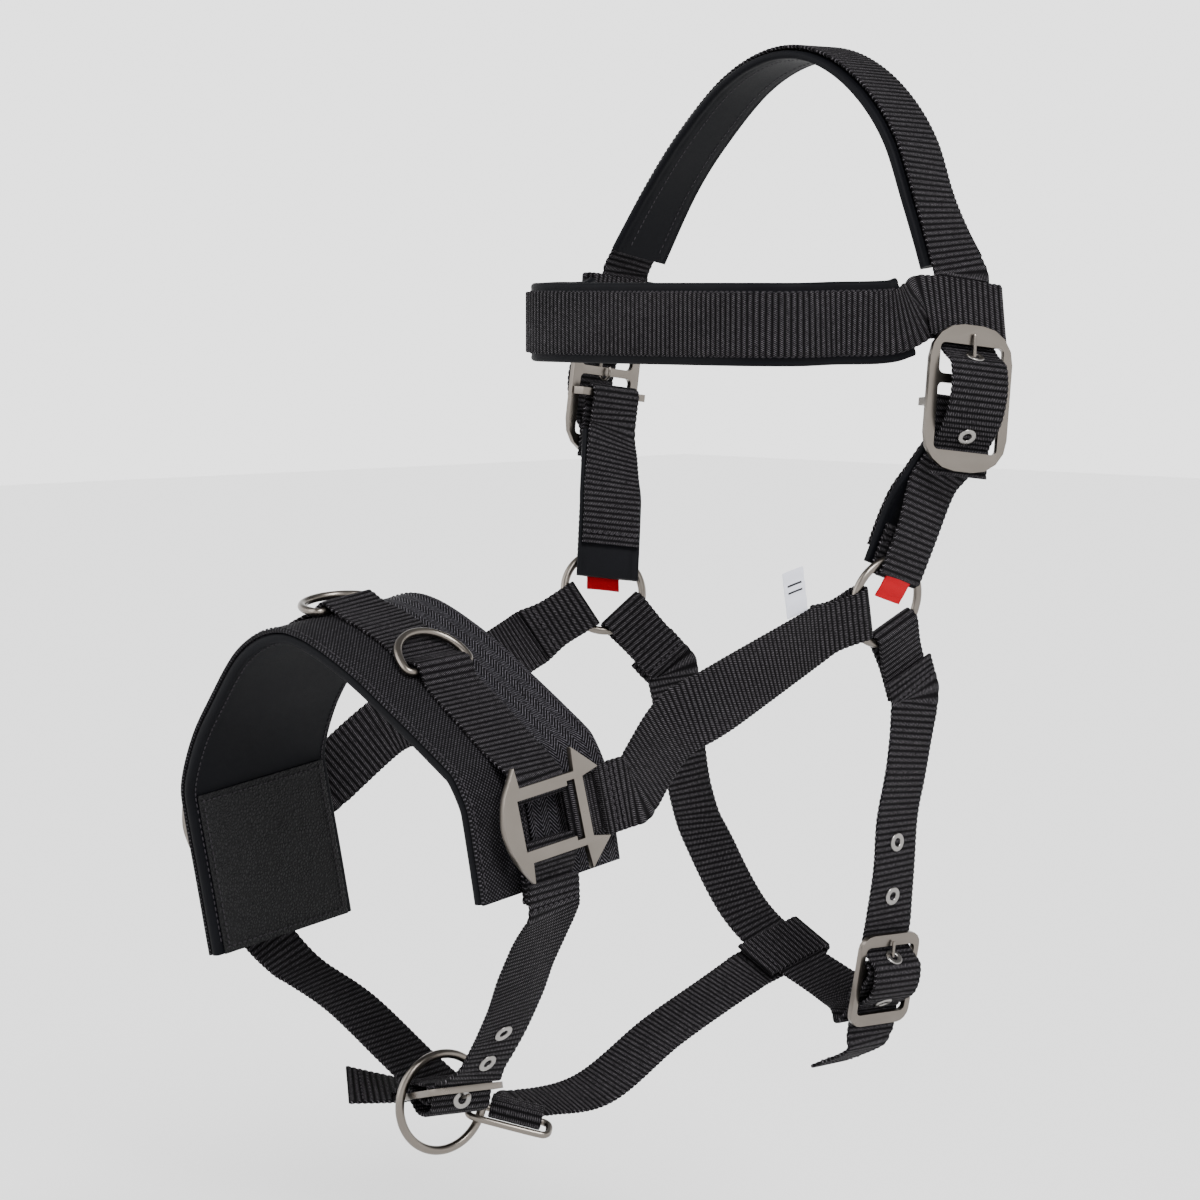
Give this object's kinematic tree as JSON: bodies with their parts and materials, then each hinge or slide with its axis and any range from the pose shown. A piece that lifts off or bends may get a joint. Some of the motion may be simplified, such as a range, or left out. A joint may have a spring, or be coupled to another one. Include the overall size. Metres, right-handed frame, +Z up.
{
  "type": "horse headcollar",
  "caption": "Webbing headcollar for a horse, with buckled crown, browband, padded noseband with rings for a lunge line, chin and throat straps.",
  "frame": {"origin": "underside of the crown on the mid-plane, where it rests on the horse's poll", "axes": "+Z up, -Y towards the horse's nose, +X towards the horse's left side"},
  "size_m": [0.2806, 0.3443, 0.5219],
  "materials": {
    "webbing": "ribbed matt webbing",
    "canvas": "plain woven, matt",
    "foam_lining": "smooth knit-faced foam",
    "grip_panel": "grained, slightly shiny",
    "satin_nickel": "satin nickel",
    "bright_nickel": "bright nickel",
    "red_tag": "woven, matt",
    "white_label": "satin weave"
  },
  "bodies": {
    "headcollar": {"browband_lining": "foam_lining", "browband_strap": "webbing", "cheek_strap_left": "webbing", "cheek_strap_right": "webbing", "cheek_tab_left": "webbing", "cheek_tab_right": "webbing", "cheekpiece_left": "webbing", "cheekpiece_lining_left": "foam_lining", "cheekpiece_lining_right": "foam_lining", "cheekpiece_right": "webbing", "chin_buckle": "satin_nickel", "chin_eyelet_1": "bright_nickel", "chin_eyelet_2": "bright_nickel", "chin_eyelet_3": "bright_nickel", "chin_strap_left": "webbing", "chin_strap_right": "webbing", "chin_tab_left": "webbing", "chin_tab_right": "webbing", "crown_buckle_left": "satin_nickel", "crown_buckle_right": "satin_nickel", "crown_eyelet_left_1": "bright_nickel", "crown_eyelet_left_2": "bright_nickel", "crown_eyelet_right_1": "bright_nickel", "crown_eyelet_right_2": "bright_nickel", "crown_lining": "foam_lining", "crown_strap": "webbing", "end_panel_left": "grip_panel", "end_panel_right": "grip_panel", "jowl_strap": "webbing", "noseband_canvas": "canvas", "noseband_overlay": "webbing", "noseband_pad": "foam_lining", "noseband_webbing": "webbing", "side_fitting_left": "satin_nickel", "side_fitting_right": "satin_nickel", "side_tag_left": "red_tag", "side_tag_right": "red_tag", "size_label": "white_label", "throat_buckle": "satin_nickel", "throat_eyelet_1": "bright_nickel", "throat_eyelet_2": "bright_nickel", "throat_eyelet_3": "bright_nickel", "throat_eyelet_4": "bright_nickel", "throat_strap_left": "webbing", "throat_strap_right": "webbing", "throat_tab_left": "webbing", "throat_tab_right": "webbing"},
    "lunge_ring_right": {"lunge_ring_right": "satin_nickel"},
    "lunge_ring_centre": {"lunge_ring_centre": "satin_nickel"},
    "lunge_ring_left": {"lunge_ring_left": "satin_nickel"},
    "cheek_ring_left": {"cheek_ring_left": "satin_nickel"},
    "cheek_ring_right": {"cheek_ring_right": "satin_nickel"},
    "chin_ring": {"chin_ring": "satin_nickel"},
    "chin_link": {"chin_link": "satin_nickel"},
    "crown_tongue_left": {"crown_tongue_left": "satin_nickel"},
    "crown_tongue_right": {"crown_tongue_right": "satin_nickel"},
    "chin_tongue": {"chin_tongue": "satin_nickel"},
    "throat_tongue": {"throat_tongue": "satin_nickel"}
  },
  "joints": [
    {"name": "lunge_ring_right_swing", "type": "hinge", "parent": "headcollar", "child": "lunge_ring_right", "pos_m": [-0.08118, -0.28323, -0.3], "axis": [0.0403, -0.9946, -0.0955], "range_deg": [0, 150]},
    {"name": "lunge_ring_centre_swing", "type": "hinge", "parent": "headcollar", "child": "lunge_ring_centre", "pos_m": [-0.01762, -0.2841, -0.25722], "axis": [-0.0242, 0.9901, 0.1381], "range_deg": [0, 150]},
    {"name": "lunge_ring_left_swing", "type": "hinge", "parent": "headcollar", "child": "lunge_ring_left", "pos_m": [0.0449, -0.28273, -0.28089], "axis": [0.0626, 0.9931, 0.0993], "range_deg": [0, 150]},
    {"name": "cheek_ring_left_turn", "type": "hinge", "parent": "headcollar", "child": "cheek_ring_left", "pos_m": [0.097, -0.045, -0.263], "axis": [0.9779, -0.0898, -0.189], "continuous": true},
    {"name": "cheek_ring_right_turn", "type": "hinge", "parent": "headcollar", "child": "cheek_ring_right", "pos_m": [-0.097, -0.045, -0.27], "axis": [-0.8433, 0.4555, -0.2853], "continuous": true},
    {"name": "chin_ring_turn", "type": "hinge", "parent": "headcollar", "child": "chin_ring", "pos_m": [0.00066, -0.24405, -0.4904], "axis": [0.9848, -0.174, 0], "continuous": true},
    {"name": "chin_link_swing", "type": "hinge", "parent": "headcollar", "child": "chin_link", "pos_m": [0.00946, -0.20906, -0.49994], "axis": [0.6844, 0.6844, -0.2516], "range_deg": [-8, 8]},
    {"name": "crown_tongue_left_lift", "type": "hinge", "parent": "headcollar", "child": "crown_tongue_left", "pos_m": [0.12474, -0.01781, -0.15759], "axis": [0.3723, 0.9204, -0.1189], "range_deg": [0, 2]},
    {"name": "crown_tongue_right_lift", "type": "hinge", "parent": "headcollar", "child": "crown_tongue_right", "pos_m": [-0.12474, -0.01698, -0.15757], "axis": [-0.0864, -0.9887, 0.1225], "range_deg": [0, 2]},
    {"name": "chin_tongue_lift", "type": "hinge", "parent": "headcollar", "child": "chin_tongue", "pos_m": [0.01266, -0.24725, -0.4827], "axis": [0.2596, 0.9657, -0.0028], "range_deg": [0, 2]},
    {"name": "throat_tongue_lift", "type": "hinge", "parent": "headcollar", "child": "throat_tongue", "pos_m": [0.08, -0.024, -0.4461], "axis": [0.0975, 0.995, -0.0199], "range_deg": [0, 2]}
  ]
}
